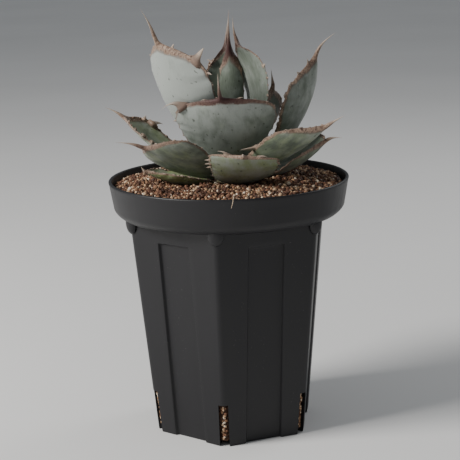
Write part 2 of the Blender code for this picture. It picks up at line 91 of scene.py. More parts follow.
# %% A material under construction
class Finish:
    """A material under construction, round one Principled shader."""

    def __init__(self, name, **fixed):
        self.material = bpy.data.materials.new(name)
        self.material.use_nodes = True
        self.tree = self.material.node_tree
        self.shader = self.tree.nodes["Principled BSDF"]
        self.set(**fixed)

    def feed(self, socket, value):
        if isinstance(value, Wire):
            self.tree.links.new(value.socket, socket)
        else:
            plain_colour = socket.type == "RGBA" and len(value) == 3
            socket.default_value = (*value, 1.0) if plain_colour else value

    def node(self, kind, settings=None, inputs=None, out=0):
        """Any node: its settings first, a ramp's stops among them, then its sockets' values or links."""
        made = self.tree.nodes.new(kind)
        for key, value in (settings or {}).items():
            if key == "stops":
                while len(made.color_ramp.elements) < len(value):
                    made.color_ramp.elements.new(0.5)
                for element, (place, colour) in zip(made.color_ramp.elements, value):
                    element.position = place
                    element.color = (*colour, 1.0)
            else:
                setattr(made, key, value)
        for key, value in (inputs or {}).items():
            self.feed(made.inputs[key], value)
        return Wire(self, made.outputs[out])

    def set(self, **values):
        """Socket values or links of the shader: base_color=..., roughness=..."""
        for key, value in values.items():
            label = key.replace("_", " ").title().replace("Ior", "IOR")
            self.feed(self.shader.inputs[label], value)

    def attribute(self, name, out="Fac"):
        return self.node("ShaderNodeAttribute", {"attribute_name": name}, out=out)

    def place(self):
        return self.node("ShaderNodeTexCoord", out="Object")

    def stretch(self, vector, scale):
        return self.node("ShaderNodeVectorMath", {"operation": "MULTIPLY"}, {0: vector, 1: scale})

    def cloud(self, vector, scale, detail=3.0, roughness=0.5):
        sockets = {"Vector": vector, "Scale": scale, "Detail": detail, "Roughness": roughness}
        return self.node("ShaderNodeTexNoise", inputs=sockets)

    def between(self, value, low, high):
        """A smooth step: 0 below low, 1 above high."""
        sockets = {"Value": value, "From Min": low, "From Max": high, "To Min": 0.0, "To Max": 1.0}
        return self.node("ShaderNodeMapRange", {"interpolation_type": "SMOOTHSTEP"}, sockets)

    def blend(self, factor, first, second):
        """A colour between two colours."""
        return self.node("ShaderNodeMix", {"data_type": "RGBA"}, {0: factor, 6: first, 7: second}, out=2)

    def ramp(self, factor, stops):
        return self.node("ShaderNodeValToRGB", {"stops": stops}, {"Fac": factor})

    def bump(self, height, depth, strength):
        """Surface relief of a depth in metres, fed to the shader's normal."""
        sockets = {"Height": height, "Distance": depth, "Strength": strength}
        self.set(normal=self.node("ShaderNodeBump", inputs=sockets))


print("shader helpers ready:", Wire.__name__, Finish.__name__)

# %% Helpers that turn points and faces into a piece
def new_object(name, data):
    """A new object, linked to the scene."""
    made = bpy.data.objects.new(name, data)
    bpy.context.scene.collection.objects.link(made)
    return made


def new_piece(name, points, faces, finish, values):
    """An object that rides on the one body. values holds a number or a vector for every point, by name."""
    mesh = bpy.data.meshes.new(name)
    mesh.from_pydata([tuple(p) for p in points], [], faces)
    for key, data in values.items():
        data = np.asarray(data, np.float32)
        kind = "FLOAT_VECTOR" if data.ndim == 2 else "FLOAT"
        field = "vector" if data.ndim == 2 else "value"
        mesh.attributes.new(key, kind, "POINT").data.foreach_set(field, data.ravel())
    mesh.materials.append(finish.material)
    mesh.shade_smooth()
    piece = new_object(name, mesh)
    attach(piece, "root")
    return piece


def grid_faces(rows, columns):
    """Quads between rows, each a loop of so many points."""
    faces = []
    for row in range(rows - 1):
        for column in range(columns):
            beside = (column + 1) % columns
            low, high = row * columns, (row + 1) * columns
            faces.append((low + column, low + beside, high + beside, high + column))
    return faces


def capped_faces(rows, columns):
    """A tube closed by a flat face at both ends."""
    count = rows * columns
    return grid_faces(rows, columns) + [tuple(range(columns))[::-1], tuple(range(count - columns, count))]


def pointed_faces(rows, columns):
    """A tube closed by a flat face at its start and by one point, the last of all, at its end."""
    last = (rows - 1) * columns
    fan = [(last + side, last + (side + 1) % columns, last + columns) for side in range(columns)]
    return grid_faces(rows, columns) + fan + [tuple(range(columns))[::-1]]


print("faces of a capped tube of 3 rows of 4:", len(capped_faces(3, 4)))

# %% [markdown]
# ## Reading a leaf back
# In the fixed model each leaf is a stack of eight-sided rings that ends in a point. From its point, every
# step outward over the mesh reaches the next ring, so the rings can be read back in order. Each ring then
# gives four things: the middle of the leaf, half its width, how far its margins are lifted (the cup), and
# half its thickness. Curves through those, ring after ring, are the leaf's form without its facets.

# %% Points, faces and neighbours of a leaf
SIDES = 8
LEFT, UPPER, RIGHT, LOWER = 4, 2, 0, 6
LIKE_POINTS = 7  # decimals, in metres, up to which two points count as one


def points_and_faces(node):
    """A piece's points without doubles, its faces, and for each point those that share a face with it."""
    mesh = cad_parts[node].data
    raw = np.array([v.co for v in mesh.vertices]).round(LIKE_POINTS)
    points, index = np.unique(raw, axis=0, return_inverse=True)
    index = index.ravel()
    faces = [[int(index[v]) for v in face.vertices] for face in mesh.polygons]
    near = {}
    for face in faces:
        for v in face:
            near.setdefault(v, set()).update(face)
    return points, faces, near


def steps_from(tip, near):
    levels, seen = [{tip}], {tip}
    while levels[-1]:
        front = set().union(*(near[v] for v in levels[-1])) - seen
        seen |= front
        levels.append(front)
    return levels[1:-1]


def find_tip(points, near):
    """The end point meets one small ring, and every step back from it reaches one whole ring."""
    spread = {v: np.ptp(points[list(n)], axis=0).max() for v, n in near.items() if len(n) == SIDES + 1}
    for tip in sorted(spread, key=spread.get):
        levels = steps_from(tip, near)
        if all(len(level) == SIDES for level in levels):
            break
    return tip, levels


bud_points, _, bud_near = points_and_faces("bud_cone")
print("bud: points", len(bud_points), "rings", len(find_tip(bud_points, bud_near)[1]))

# %% Rings of a leaf in order
PLAIN_STRETCH = slice(2, 18, 2)  # the even rings, which carry no teeth
MIDDLE_RING = 10
UNDER_FOR_OVER = [0, 7, 6, 5, 4, 3, 2, 1]
LEFT_FOR_RIGHT = [4, 3, 2, 1, 0, 7, 6, 5]


def walk_round(level, faces):
    """The points of one ring in order. A side face with two corners on the ring holds one of its edges."""
    links = {v: set() for v in level}
    for face in faces:
        inside = [v for v in face if v in level]
        if len(inside) == 2:
            links[inside[0]].add(inside[1])
            links[inside[1]].add(inside[0])
    order = [min(level)]
    while len(order) < len(level):
        order.append(min(links[order[-1]] - set(order)))
    return order


def in_line_with(before, loop, points, near):
    """The loop turned or reversed so that each of its corners follows the same corner of the ring before."""
    shape = points[before] - points[before].mean(0)
    best = None
    for order in (loop, loop[::-1]):
        for turn in range(SIDES):
            trial = order[turn:] + order[:turn]
            apart = np.linalg.norm(points[trial] - points[trial].mean(0) - shape)
            joined = all(b in near[a] for a, b in zip(before, trial))
            if joined and (best is None or apart < best[0]):
                best = (apart, trial)
    return best[1]


def right_way_round(stack):
    """The same rings, each from the right margin over the upper side to the left and back below."""
    widths = [np.linalg.norm(stack[:, i] - stack[:, i + 4], axis=1).sum() for i in range(4)]
    stack = np.roll(stack, -int(np.argmax(widths)), axis=1)
    plain = stack[PLAIN_STRETCH]
    chord = (plain[:, RIGHT] + plain[:, LEFT]) / 2
    gap = [np.linalg.norm(plain[:, side] - chord, axis=1).sum() for side in (UPPER, LOWER)]
    if gap[1] < gap[0]:
        stack = stack[:, UNDER_FOR_OVER]
    along = stack[MIDDLE_RING + 2].mean(0) - stack[MIDDLE_RING - 2].mean(0)
    ring = stack[MIDDLE_RING]
    face = ring[UPPER] - ring[LOWER]
    if np.dot(ring[LEFT] - ring[RIGHT], np.cross(face, along)) < 0:
        stack = stack[:, LEFT_FOR_RIGHT]
    return stack


def leaf_rings(node):
    """Rings from root to spine, and the end point."""
    points, faces, near = points_and_faces(node)
    tip, levels = find_tip(points, near)
    rings = [walk_round(levels[0], faces)]
    for level in levels[1:]:
        rings.append(in_line_with(rings[-1], walk_round(level, faces), points, near))
    return right_way_round(points[np.array(rings[::-1])]), points[tip]


LEAF_NODES = sorted(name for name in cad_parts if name.startswith("leaf_") or name == "bud_cone")
RINGS = {node: leaf_rings(node) for node in LEAF_NODES}
print("leaves read back:", len(RINGS), "rings each:", {len(stack) for stack, tip in RINGS.values()})

# %% [markdown]
# ## The form of a leaf
# An agave leaf is a thick wedge: flat or hollow above, rounded below, with sharp margins. The fixed model's
# odd rings carry the teeth, so the plain margin is drawn through the even ones, and what an odd ring adds
# to it is that tooth's direction and length. A smooth curve (Hermite, with slopes from the neighbours)
# passes through every ring that it is given. The middle and the thickness skip the two rings where the
# spine starts, so that the blade runs into the spine without a knob.

# %% Curves through the rings
BLADE = 20  # the ring where the blade ends and the spine starts
PLAIN_RINGS = [0, 1, *range(2, BLADE, 2), *range(BLADE, BLADE + 5)]
TOOTH_RINGS = range(3, BLADE, 2)
LOWER_SHARE = 7 / 9  # how far a blade's thickness lies below its middle


def curve(knots, values, at):
    """Smooth curve through values at knots."""
    knots, values, at = np.asarray(knots, float), np.asarray(values, float), np.asarray(at, float)
    slopes = np.gradient(values, knots, axis=0)
    i = np.clip(np.searchsorted(knots, at, side="right") - 1, 0, len(knots) - 2)
    step = (knots[i + 1] - knots[i])[:, None]
    u = ((at - knots[i]) / step[:, 0])[:, None]
    a = (2 * u**3 - 3 * u**2 + 1) * values[i] + (u**3 - 2 * u**2 + u) * step * slopes[i]
    return a + (3 * u**2 - 2 * u**3) * values[i + 1] + (u**3 - u**2) * step * slopes[i + 1]


def smooth(low, high, value):
    u = np.clip((np.asarray(value, float) - low) / (high - low), 0, 1)
    return u * u * (3 - 2 * u)


print("half way up a smooth step:", float(smooth(0.0, 1.0, 0.5)))


# %% The form of each leaf
class LeafForm:
    """A leaf's curves. middle, half width, cup and half thickness are vectors that change along it."""

    def __init__(self, node):
        stack, self.tip = RINGS[node]
        self.end = len(stack)
        middle = (stack[:, UPPER] + stack[:, LOWER]) / 2
        deep = (stack[:, UPPER] - stack[:, LOWER]) / 2
        self.solid = [ring for ring in range(self.end + 1) if ring not in (BLADE - 1, BLADE)]
        self.middle = np.vstack([middle, self.tip])[self.solid]
        self.deep = np.vstack([deep, np.zeros(3)])[self.solid]
        plain = PLAIN_RINGS[:-1]
        half = (stack[plain, LEFT] - stack[plain, RIGHT]) / 2
        cup = (stack[plain, LEFT] + stack[plain, RIGHT]) / 2 - middle[plain]
        self.half = np.vstack([half, np.zeros(3)])
        self.cup = np.vstack([cup, np.zeros(3)])
        self.stack = stack
        self.step = np.linalg.norm(np.diff(middle[: BLADE + 1], axis=0), axis=1).mean()

    def at(self, t):
        middle, deep = curve(self.solid, self.middle, t), curve(self.solid, self.deep, t)
        half, cup = curve(PLAIN_RINGS, self.half, t), curve(PLAIN_RINGS, self.cup, t)
        return middle, half, cup, deep

    def teeth(self):
        """(margin, ring, foot, tooth vector) for each tooth. margin is -1 on the right and 1 on the left."""
        found = []
        for ring in TOOTH_RINGS:
            middle, half, cup, deep = self.at([ring])
            for margin, corner in ((-1, RIGHT), (1, LEFT)):
                foot = middle[0] + margin * half[0] + cup[0]
                found.append((margin, ring, foot, self.stack[ring, corner] - foot))
        return found


FORMS = {node: LeafForm(node) for node in LEAF_NODES}
for node in ("leaf_upper_left", "leaf_front"):
    longest = max(np.linalg.norm(tooth[3]) for tooth in FORMS[node].teeth())
    print(node, "longest tooth in mm:", round(longest / MM, 1))

# %% [markdown]
# ## Leaf meshes
# Each leaf becomes one closed skin of about 170 rows. Its columns stand closer together near the margins,
# where the edge is sharp. Small waves in the margin, a swelling under each tooth and faint prints on the
# faces keep it from looking moulded. Each tooth is a curved cone that starts square to the margin and bends
# to where the fixed model has its tip, and a few tiny teeth stand between the large ones.
#
# Every point also carries numbers for the material: how horny it is, how far it is along a tooth or the
# spine, and a place in millimetres along and across the leaf, so that fibres can follow the leaf's bend.

# %% The rows of a leaf
ROWS_PER_RING = 7
SPINE_ROWS = 4 * ROWS_PER_RING
LEAST_LENGTH = 1e-9


class LeafRows:
    """At each row: the leaf's curves, its directions, and how much of it is blade."""

    def __init__(self, form):
        blade_rows = np.arange(0, BLADE * ROWS_PER_RING) / ROWS_PER_RING
        self.t = np.concatenate([blade_rows, np.linspace(BLADE, form.end, SPINE_ROWS)[:-1]])
        self.middle, self.half, self.cup, self.deep = form.at(self.t)
        self.width = np.linalg.norm(self.half, axis=1)
        self.out = self.half / np.maximum(self.width, LEAST_LENGTH)[:, None]
        depth = np.linalg.norm(self.deep, axis=1)
        self.up = self.deep / np.maximum(depth, LEAST_LENGTH)[:, None]
        self.slope = np.gradient(self.width, self.t * form.step)
        self.bulge = LOWER_SHARE * (1 - smooth(BLADE - 2.5, BLADE + 1.5, self.t))[:, None]
        self.blade = (1 - smooth(BLADE - 1.5, BLADE + 0.5, self.t))[:, None]


ROWS = {node: LeafRows(form) for node, form in FORMS.items()}
print("rows in a leaf:", len(ROWS["leaf_front"].t))

# %% Tiny teeth and the waves of the margin
SMALL_TOOTH = (0.35, 1.1)  # in mm
SMALL_LEAN = (-35, 45)  # in degrees, toward the leaf's point
SMALL_KEPT = 0.75
SWELL, SWELL_UP_TO, SWELL_RINGS = 0.36, 3.2 * MM, 0.6
WAVE = 0.55 * MM


def small_teeth(form, seed):
    """Tiny teeth between the large ones, each leaning its own way."""
    draw = np.random.default_rng(100 + seed)
    found = []
    for ring in range(4, BLADE, 2):
        for margin in (-1, 1):
            place = ring + draw.uniform(-0.5, 0.5)
            size, lean = draw.uniform(*SMALL_TOOTH) * MM, math.radians(draw.uniform(*SMALL_LEAN))
            middle, half, cup, deep = form.at([place, place + 0.2])
            foot, ahead = middle + margin * half + cup
            outward = margin * half[0] / np.linalg.norm(half[0])
            along = (ahead - foot) / np.linalg.norm(ahead - foot)
            if draw.uniform() < SMALL_KEPT:
                tooth = size * (math.cos(lean) * outward + math.sin(lean) * along)
                found.append((margin, place, foot, tooth))
    return found


def margin_swell(rows, teeth, seed):
    """How far each margin stands out at every row: a swelling under each tooth and a slow wave."""
    swell = {-1: np.zeros(len(rows.t)), 1: np.zeros(len(rows.t))}
    for margin, ring, foot, tooth in teeth:
        size = np.linalg.norm(tooth)
        swell[margin] += SWELL * min(size, SWELL_UP_TO) * np.exp(-(((rows.t - ring) / SWELL_RINGS) ** 2))
    for margin in swell:
        uneven = np.array([noise.noise(Vector((0.7 * row, 40.0 * margin, seed))) for row in rows.t])
        swell[margin] += WAVE * uneven * rows.blade[:, 0]
    return swell


print("tiny teeth in mm, shortest and longest:", SMALL_TOOTH)

# %% The skin of a leaf
COLUMNS = 17  # from margin to margin, on one skin
PRINT_DEPTH, PRINT_SCALE = 0.22 * MM, 0.22


class Shape:
    """Points, faces and numbers for the material, gathered part by part."""

    def __init__(self):
        self.points = []
        self.faces = []
        self.values = {"horn": [], "reach": [], "near_tip": [], "leaf_map": []}

    def add(self, points, faces, **values):
        base = len(self.points)
        self.points += points
        self.faces += [tuple(base + v for v in face) for face in faces]
        for key, data in values.items():
            self.values[key] += data


def skin_column(rows, v, skin, swell, seed):
    """One column of points. v goes from -1 to 1 between the margins. skin is 1 above and -1 below."""
    round_off = math.sqrt(max(1 - v * v, 0.0))
    skin_rise = (1 - rows.bulge) * round_off if skin > 0 else -(1 + rows.bulge) * round_off
    rise = rows.bulge * (1 - v * v) + skin_rise
    place = rows.middle + rows.half * v + rows.cup * v * v + rows.deep * rise
    edge = abs(v) ** 3
    place = place + rows.out * (np.sign(v) * edge * swell[1 if v > 0 else -1])[:, None]
    ripple = np.array([noise.noise(Vector((0.45 * row, 3.0 * np.sign(v), seed))) for row in rows.t])
    place = place + rows.up * rows.blade * (WAVE * edge * ripple)[:, None]
    for row in range(len(rows.t)):
        where = Vector((v * rows.width[row] / MM * PRINT_SCALE, rows.t[row] * 0.5, seed + 5 * skin))
        place[row] += rows.up[row] * rows.blade[row] * (PRINT_DEPTH * noise.noise(where) * (1 - abs(v)))
    return place


def add_skin(shape, form, rows, swell, bands, seed):
    """Blade and spine as one skin, closed at the root and at the point. bands: width of the horn, in mm."""
    across = -np.cos(np.pi * np.arange(COLUMNS) / (COLUMNS - 1))
    loop = [(v, 1) for v in across] + [(v, -1) for v in across[-2:0:-1]]
    count = len(loop)
    points = np.zeros((len(rows.t), count, 3))
    leaf_map = np.zeros((len(rows.t), count, 3))
    horn = np.zeros((len(rows.t), count))
    band, tip_band = bands
    width_band = (band + (tip_band - band) * smooth(BLADE - 6, BLADE - 1, rows.t)) * MM
    for column, (v, skin) in enumerate(loop):
        points[:, column] = skin_column(rows, v, skin, swell, seed)
        inside = (1 - abs(v)) * rows.width / np.sqrt(1 + rows.slope**2)
        horn[:, column] = np.clip(1.5 - inside / width_band, 0, 1)
        leaf_map[:, column, 0] = v * rows.width / MM
        leaf_map[:, column, 1] = rows.t * form.step / MM
        leaf_map[:, column, 2] = 7.0 * seed + 3.0 * skin
    horn = np.maximum(horn, smooth(BLADE - 0.9, BLADE - 0.2, rows.t)[:, None])
    reach = np.repeat(smooth(BLADE, form.end, rows.t), count)
    near_tip = np.repeat(smooth(BLADE - 5, BLADE, rows.t), count)
    shape.add(
        [*points.reshape(-1, 3), form.tip], pointed_faces(len(rows.t), count),
        horn=[*horn.ravel(), 1.0], reach=[*reach, 1.0], near_tip=[*near_tip, 1.0],
        leaf_map=[*leaf_map.reshape(-1, 3), (0.0, form.step * (BLADE + 4) / MM, seed)])


print("columns round a leaf:", 2 * COLUMNS - 2)

# %% The teeth of a leaf
TOOTH_ROWS = 8
TOOTH_SIDES = 8
LEAST_TOOTH = 0.3 * MM
TOOTH_WIDE, TOOTH_GROWTH, TOOTH_THIN = 0.48 * MM, 0.66, 0.55  # a tooth twice as long isn't twice as wide
TOOTH_BURIED = 0.6  # of its half width, in the margin
FLARE, FLARE_REACH = 0.8, 0.35


def cone(start, bend, end, wide, thin, wide_axis, thin_axis):
    """Points of a curved cone with a flared oval foot, and how far along it each point is."""
    points, shares = [], []
    for row in range(TOOTH_ROWS):
        u = row / TOOTH_ROWS
        centre = start * (1 - u) ** 2 + bend * (2 * u * (1 - u)) + end * u**2
        taper = (1 - u) ** 0.9 * (1 + FLARE * max(0.0, 1 - u / FLARE_REACH) ** 2)
        for side in range(TOOTH_SIDES):
            turn = math.tau * side / TOOTH_SIDES
            offset = wide_axis * (wide * math.cos(turn)) + thin_axis * (thin * math.sin(turn))
            points.append(centre + taper * offset)
            shares.append(u)
    return points + [end], shares + [1.0]


def add_tooth(shape, form, rows, found, seed):
    """A tooth that starts square to the margin and bends to its tip."""
    margin, ring, foot, tooth = found
    size = np.linalg.norm(tooth)
    row = int(ring * ROWS_PER_RING)
    outward = margin * rows.out[row]
    middle, half = rows.middle, rows.half
    run = middle[row + 1] + margin * half[row + 1] - middle[row - 1] - margin * half[row - 1]
    run = run / np.linalg.norm(run)
    facing = np.cross(run, outward)
    facing = facing / np.linalg.norm(facing)
    square = np.cross(facing, run)
    square = square * np.sign(np.dot(square, outward))
    wide = TOOTH_WIDE * (size / MM) ** TOOTH_GROWTH
    start = foot - square * (TOOTH_BURIED * wide)
    bend = start + square * (0.55 * size + TOOTH_BURIED * wide)
    points, shares = cone(start, bend, foot + tooth, wide, TOOTH_THIN * wide, run, facing)
    across, along = margin * rows.width[row] / MM, ring * form.step / MM
    shape.add(
        points, pointed_faces(TOOTH_ROWS, TOOTH_SIDES),
        horn=[1.0] * len(points), reach=[0.25 + 0.75 * share for share in shares],
        near_tip=[float(smooth(BLADE - 5, BLADE, ring))] * len(points),
        leaf_map=[(across, along + 2 * share, seed) for share in shares])


def build_leaf(node, finish, bands, seed):
    form, rows = FORMS[node], ROWS[node]
    teeth = form.teeth() + small_teeth(form, seed)
    shape = Shape()
    add_skin(shape, form, rows, margin_swell(rows, teeth, seed), bands, seed)
    for found in teeth:
        if np.linalg.norm(found[3]) >= LEAST_TOOTH:
            add_tooth(shape, form, rows, found, seed)
    piece = new_piece(node + "_leaf", shape.points, shape.faces, finish, shape.values)
    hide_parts(node)
    return piece


print("half width in mm of a tooth 5 mm long:", round(TOOTH_WIDE / MM * 5**TOOTH_GROWTH, 2))

# %% [markdown]
# ## Leaf finish
# The skin of this agave is grey-green under a whitish wax bloom that rubs off in patches, with a few small
# dark marks. Low leaves are greener because they are older and shaded. The margin, the teeth and the spine
# are dry horn: tan to brown, fibrous, greyer toward their points, and dark reddish brown at the foot of the
# young spines. One function makes the finish, and each leaf gets its own amounts of green, bloom and blush.

# %% The leaf finish
BLOOM = (0.335, 0.36, 0.335)
SKIN = (0.105, 0.128, 0.095)
GREEN = (0.20, 0.25, 0.085)
MARK = (0.045, 0.05, 0.036)
HORN_BROWN = (0.115, 0.062, 0.042)
HORN_TAN = (0.36, 0.255, 0.185)
HORN_GREY = (0.47, 0.40, 0.33)
BLUSH = (0.045, 0.012, 0.01)


def leaf_finish(name, bloom, green, blush, dull):
    look = Finish(name, sheen_weight=0.12, sheen_roughness=0.5, specular_ior_level=0.35)
    where = look.attribute("leaf_map", "Vector")
    horn, reach = look.attribute("horn"), look.attribute("reach")
    near_tip = look.attribute("near_tip")
    coarse = look.cloud(look.stretch(where, (0.11, 0.075, 1.0)), 1.0, 4.0, 0.55)
    patch = look.cloud(look.stretch(where, (0.30, 0.12, 1.0)), 1.0, 5.0, 0.6)
    fibre = look.cloud(look.stretch(where, (3.2, 0.22, 1.0)), 1.0, 2.0, 0.6)
    speck = look.cloud(look.stretch(where, (0.55, 0.34, 1.0)), 1.0, 2.0, 0.4)
    waxy = look.between(coarse * 0.55 + patch * 0.45 + (bloom - 0.5), 0.30, 0.68)
    skin = look.blend(look.between(patch + (green - 0.5), 0.35, 0.75), SKIN, GREEN)
    skin = look.blend(waxy * (0.95 - 0.35 * dull), skin, BLOOM)
    skin = look.blend(look.between(speck, 0.66, 0.74) * 0.75, skin, MARK)
    skin = look.blend((fibre - 0.4) * 0.35, skin, (0.5, 0.56, 0.5))
    frayed = look.between(horn + (patch - 0.5) * 1.7 + (fibre - 0.5) * 0.6, 0.40, 0.80)
    streak = look.cloud(look.stretch(where, (0.9, 0.9, 1.0)), 1.0, 3.0, 0.6)
    dry = look.blend(look.between(fibre * 0.5 + streak * 0.5, 0.36, 0.60), HORN_BROWN, HORN_TAN)
    dry = look.blend(look.between(reach, 0.15, 0.95) * 0.75, dry, HORN_GREY)
    dry = look.blend(near_tip * (1.0 - reach * 0.9) * blush, dry, BLUSH)
    skin = look.blend(look.between(horn + (patch - 0.5) * 0.7, 0.05, 0.5) * 0.55, skin, HORN_BROWN)
    look.set(base_color=look.blend(frayed, skin, dry))
    look.set(roughness=0.58 - frayed * 0.10 + (patch - 0.5) * 0.16)
    look.bump(fibre * (0.25 + frayed * 1.3) + streak * frayed * 0.8 + patch * 0.5, 0.28 * MM, 0.7)
    return look


print("leaf colours, from bloom to blush:", BLOOM, SKIN, GREEN, BLUSH)

# %% Finish and build every leaf
# Bloom, green, blush, dullness, and the width in mm of the horn along the margin and near the tip
LEAF_LOOKS = {
    "bud_cone": (0.40, 0.24, 1.0, 0.3, 0.10, 3.2),
    "leaf_inner_right": (0.44, 0.26, 0.6, 0.55, 0.14, 0.8),
    "leaf_inner_back": (0.30, 0.30, 0.8, 0.3, 0.5, 1.8),
    "leaf_upper_left": (0.70, 0.24, 0.0, 0.0, 0.30, 3.2),
    "leaf_upper_right": (0.50, 0.34, 0.2, 0.1, 0.8, 1.8),
    "leaf_back_high": (0.66, 0.30, 0.3, 0.0, 0.6, 2.0),
    "leaf_front": (0.58, 0.40, 1.0, 0.0, 0.34, 2.0),
    "leaf_back_mid": (0.52, 0.40, 0.3, 0.1, 0.6, 1.6),
    "leaf_mid_right": (0.32, 0.30, 0.2, 0.2, 2.6, 3.4),
    "leaf_mid_left": (0.50, 0.62, 0.1, 0.0, 0.6, 2.2),
    "leaf_low_right": (0.42, 0.50, 0.1, 0.1, 0.6, 2.2),
    "leaf_back_low": (0.50, 0.46, 0.2, 0.0, 0.6, 1.6),
    "leaf_lower_left": (0.42, 0.46, 0.4, 0.3, 0.40, 1.9),
    "leaf_back_right": (0.50, 0.50, 0.2, 0.1, 0.7, 1.8),
    "leaf_under_right": (0.44, 0.50, 0.2, 0.1, 0.5, 1.6),
    "leaf_base_left": (0.34, 1.05, 0.0, 0.0, 0.25, 0.7),
    "leaf_base_front": (0.50, 1.05, 0.0, 0.0, 0.3, 0.8),
    "leaf_back_left": (0.46, 0.56, 0.2, 0.1, 0.6, 1.8),
}
leaves = []
for seed, node in enumerate(LEAF_NODES):
    bloom, green, blush, dull, band, tip_band = LEAF_LOOKS[node]
    finish = leaf_finish("skin of " + node, bloom, green, blush, dull)
    leaves.append(build_leaf(node, finish, (band, tip_band), seed))
print("leaf points in all:", sum(len(leaf.data.vertices) for leaf in leaves))

# %% [markdown]
# ## The pot
# A slit pot is one injection moulding in matte black plastic: a round collar over a six-sided tapering
# body, a shallow panel in each side, a slit at the foot of each corner and a small lug under the collar at
# each corner. It is drawn as rings that go down the outside and up the inside, with extra rings and points
# wherever an edge is rounded, so the edges catch light as a moulding's do. The lugs are then joined and the
# slits cut with exact booleans, one modifier for each.

# %% Sizes of the pot
POT_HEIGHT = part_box("slit_pot")[1].z
RIM_RADIUS = 60.0 * MM
COLLAR_HEIGHT = 18.0 * MM
SEAT = POT_HEIGHT - COLLAR_HEIGHT
BODY_TOP, BODY_FOOT = 53.0 * MM, 42.4 * MM
WALL, FLOOR = 1.6 * MM, 2.2 * MM
CORNER_ROUND = 3.0 * MM
FRONT_CORNER = math.radians(-97.5)
PANEL_HALF, PANEL_DEPTH, PANEL_DRAFT = 9.4 * MM, 1.5 * MM, 0.4 * MM
PANEL_TOP = SEAT - 8.8 * MM
SLIT_WIDTH, SLIT_HEIGHT, SLIT_REACH = 4.8 * MM, 22.0 * MM, 9.0 * MM
HALF_SIDE = math.pi / 6
COLLAR_FOOT, COLLAR_DRAFT, COLLAR_BEND = 53.4 * MM, 2.1 * MM, 0.30
LIP = 0.75 * MM
LEDGE_INSET = 0.9 * MM
print("pot height in mm:", round(POT_HEIGHT / MM, 2))


# %% One ring of the body
def body_radius(z):
    return BODY_FOOT + (BODY_TOP - BODY_FOOT) * z / SEAT


def corner_angle(side):
    return FRONT_CORNER + side * math.pi / 3


def stations(side_half, panel):
    """Places along one side, closer at the panel's two edges, with the share of the recess at each."""
    edge = [(panel + 0.5 * MM, 0.0), (panel + 0.22 * MM, 0.03), (panel + 0.05 * MM, 0.16)]
    edge += [(panel - 0.5 * PANEL_DRAFT, 0.5), (panel - PANEL_DRAFT - 0.05 * MM, 0.84)]
    edge += [(panel - PANEL_DRAFT - 0.22 * MM, 0.97), (panel - PANEL_DRAFT - 0.5 * MM, 1.0)]
    flat = [(side_half - (side_half - panel) * share, 0.0) for share in (0.2, 0.4, 0.6, 0.8)]
    floor = [((panel - PANEL_DRAFT) * share, 1.0) for share in (0.75, 0.5, 0.25)]
    half = flat + edge + floor
    return [(-x, d) for x, d in half] + [(0.0, 1.0)] + [(x, d) for x, d in reversed(half)]


def body_ring(z, inset=0.0, recess=0.0):
    radius = body_radius(z) - inset / math.cos(HALF_SIDE)
    bend = max(CORNER_ROUND - inset, 0.8 * MM)
    centre = radius - bend / math.cos(HALF_SIDE)
    apothem = radius * math.cos(HALF_SIDE)
    side_half = radius * math.sin(HALF_SIDE) - bend * math.tan(HALF_SIDE)
    ring = []
    for side in range(6):
        direction = corner_angle(side)
        for step in range(9):
            turn = direction + HALF_SIDE * (step / 4 - 1)
            x = centre * math.cos(direction) + bend * math.cos(turn)
            ring.append((x, centre * math.sin(direction) + bend * math.sin(turn), z))
        out = direction + HALF_SIDE
        for along, share in stations(side_half, PANEL_HALF + inset):
            reach = apothem - recess * share
            x = reach * math.cos(out) - along * math.sin(out)
            ring.append((x, reach * math.sin(out) + along * math.cos(out), z))
    return ring


print("points in a ring:", len(body_ring(SEAT)))

# %% All rings of the pot
FOOT_ROUND = ((0.0, 0.6), (0.04, 0.35), (0.18, 0.16), (0.38, 0.04), (0.7, 0.0))  # height and inset in mm
PANEL_END = (  # height over the panel's top in mm, and share of the recess
    (-0.5, 1.0), (-0.22, 0.97), (-0.05, 0.84), (0.1, 0.5), (0.25, 0.16), (0.42, 0.03), (0.7, 0.0))
COLLAR_OUTSIDE = (
    0.0, 0.004, 0.012, 0.025, 0.045, 0.07, 0.1, 0.135, 0.175, 0.215, 0.255, 0.3, 0.34, 0.5, 0.7, 0.9)
COLLAR_INSIDE = (0.8, 0.6, 0.4, 0.3, 0.22, 0.14)


def round_ring(radius, z, template):
    angles = [math.atan2(y, x) for x, y, _ in template]
    return [(radius * math.cos(a), radius * math.sin(a), z) for a in angles]


def collar_outside(share):
    """The collar's radius at a share of its height: a rounded foot, then nearly straight to the rim."""
    shoulder = RIM_RADIUS - COLLAR_DRAFT
    if share < COLLAR_BEND:
        rise = math.sin(math.pi / 2 * share / COLLAR_BEND) ** 0.8
        return COLLAR_FOOT + (shoulder - COLLAR_FOOT) * rise
    return shoulder + (RIM_RADIUS - shoulder) * (share - COLLAR_BEND) / (1 - COLLAR_BEND)


def outside_rings(template):
    """From the foot up the panels and the collar to the lip."""
    rings = [body_ring(z * MM, inset * MM, PANEL_DEPTH) for z, inset in FOOT_ROUND]
    rings += [body_ring(PANEL_TOP * share, 0.0, PANEL_DEPTH) for share in np.linspace(0.08, 0.98, 14)]
    rings += [body_ring(PANEL_TOP + rise * MM, 0.0, PANEL_DEPTH * share) for rise, share in PANEL_END]
    rings += [body_ring(PANEL_TOP + (SEAT - PANEL_TOP) * share) for share in (0.35, 0.7)]
    rings.append(template)
    for share in COLLAR_OUTSIDE:
        rings.append(round_ring(collar_outside(share), SEAT + share * COLLAR_HEIGHT, template))
    return rings


